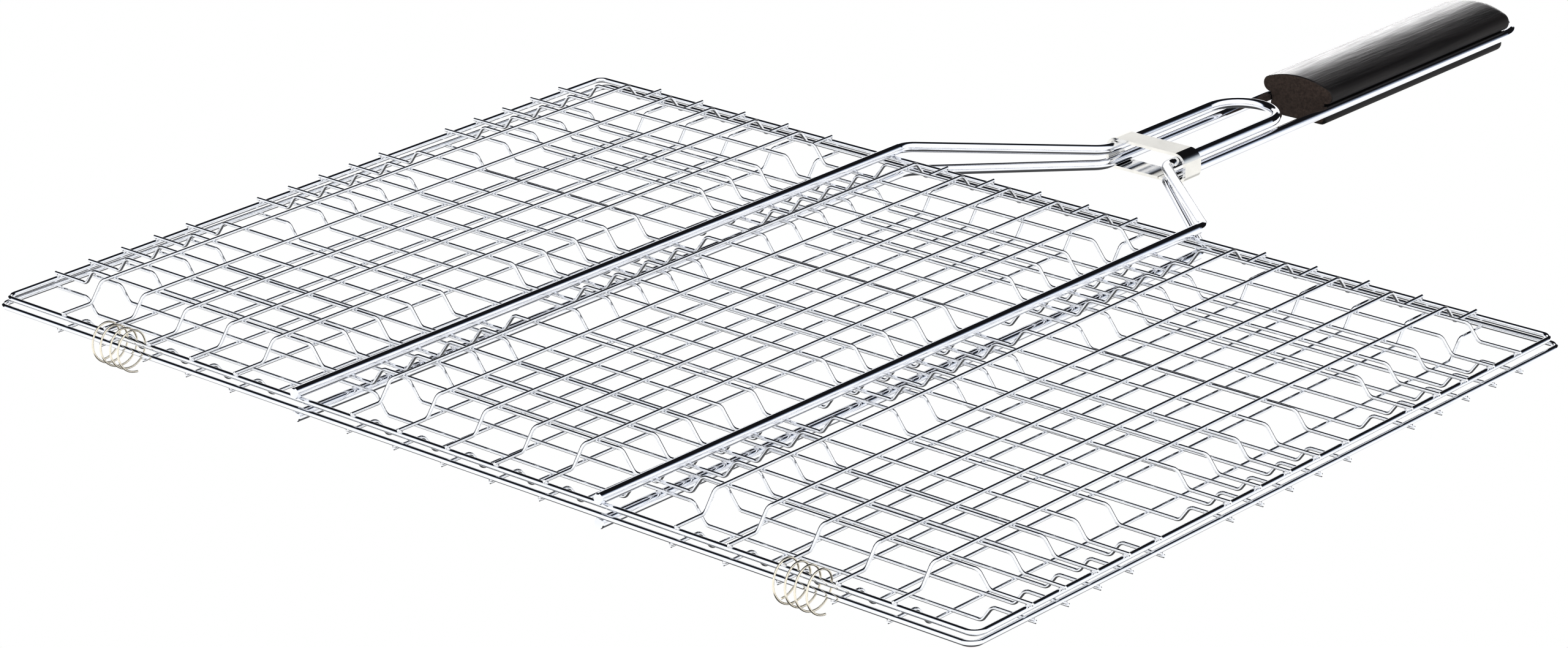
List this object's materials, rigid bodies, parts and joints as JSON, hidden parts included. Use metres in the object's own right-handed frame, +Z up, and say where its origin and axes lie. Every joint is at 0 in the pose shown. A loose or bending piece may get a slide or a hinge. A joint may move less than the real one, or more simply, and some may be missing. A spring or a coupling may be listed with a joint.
{
  "type": "grill basket",
  "caption": "Flat folding wire grill basket: two hinged mesh leaves with shallow food pockets, long bent-rod handles locked by a sliding ring, and a wooden grip.",
  "frame": {"origin": "centre of the footprint, on the plane the basket rests on", "axes": "+X along the hinge to the right as seen from the front, +Y from the hinge towards the grip, +Z up"},
  "size_m": [0.4556, 0.6082, 0.0219],
  "materials": {
    "rim_chrome": "bright chrome plated steel wire",
    "mesh_chrome": "bright chrome plated thin steel wire",
    "rod_chrome": "bright chrome plated steel rod",
    "coil_steel": "thin bright coil wire with a faint straw tint",
    "ring_nickel": "bright nickel plated steel strip",
    "stained_wood": "black stained wood, satin, open grain"
  },
  "bodies": {
    "lower_basket": {"lower_rim": "rim_chrome", "lower_long_wires_left": "mesh_chrome", "lower_long_wires_middle": "mesh_chrome", "lower_long_wires_right": "mesh_chrome", "lower_cross_wires_front": "mesh_chrome", "lower_cross_wires_middle": "mesh_chrome", "lower_cross_wires_rear": "mesh_chrome", "lower_handle_rod": "rod_chrome", "grip": "stained_wood"},
    "upper_basket": {"upper_rim": "rim_chrome", "upper_long_wires_left": "mesh_chrome", "upper_long_wires_middle": "mesh_chrome", "upper_long_wires_right": "mesh_chrome", "upper_cross_wires_front": "mesh_chrome", "upper_cross_wires_middle": "mesh_chrome", "upper_cross_wires_rear": "mesh_chrome", "upper_handle_rod": "rod_chrome"},
    "ring": {"slide_ring": "ring_nickel"},
    "left_coil": {"hinge_coil_left": "coil_steel"},
    "right_coil": {"hinge_coil_right": "coil_steel"}
  },
  "joints": [
    {"name": "leaf_hinge", "type": "hinge", "parent": "lower_basket", "child": "upper_basket", "pos_m": [0, -0.2966, 0.0102], "axis": [1, 0, 0], "range_deg": [0, 180]},
    {"name": "ring_slide", "type": "slide", "parent": "lower_basket", "child": "ring", "axis": [0, 1, 0], "range_m": [0, 0.08]},
    {"name": "left_coil_turn", "type": "hinge", "parent": "lower_basket", "child": "left_coil", "pos_m": [0, -0.2966, 0.0102], "axis": [1, 0, 0], "continuous": true},
    {"name": "right_coil_turn", "type": "hinge", "parent": "lower_basket", "child": "right_coil", "pos_m": [0, -0.2966, 0.0102], "axis": [1, 0, 0], "continuous": true}
  ]
}
